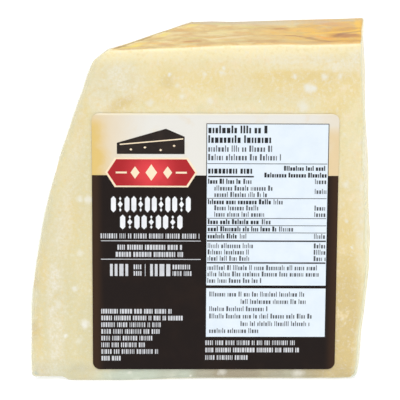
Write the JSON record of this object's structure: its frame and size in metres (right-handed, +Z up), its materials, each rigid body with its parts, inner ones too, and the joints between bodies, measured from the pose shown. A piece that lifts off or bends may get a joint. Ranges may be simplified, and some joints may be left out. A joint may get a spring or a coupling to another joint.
{
  "type": "vacuum-sealed cut piece of hard aged cheese",
  "caption": "Upright cut piece of hard aged cheese with rind on top, sealed in clear shrink film, with a flat printed label on its front face.",
  "frame": {"origin": "middle of the piece's bounding box, on the surface it stands on", "axes": "+Z up from the foot to the rind, front cut face and label towards -Y, +X to the right as seen from the front"},
  "size_m": [0.1202, 0.04, 0.1226],
  "materials": {
    "sealed_cheese": "clear glossy shrink film lying tight on pale straw-coloured cheese",
    "label": "satin printed film, near-black with a cream head and white panels"
  },
  "bodies": {
    "root": {"sealed_cheese": "sealed_cheese", "label": "label"}
  },
  "joints": []
}
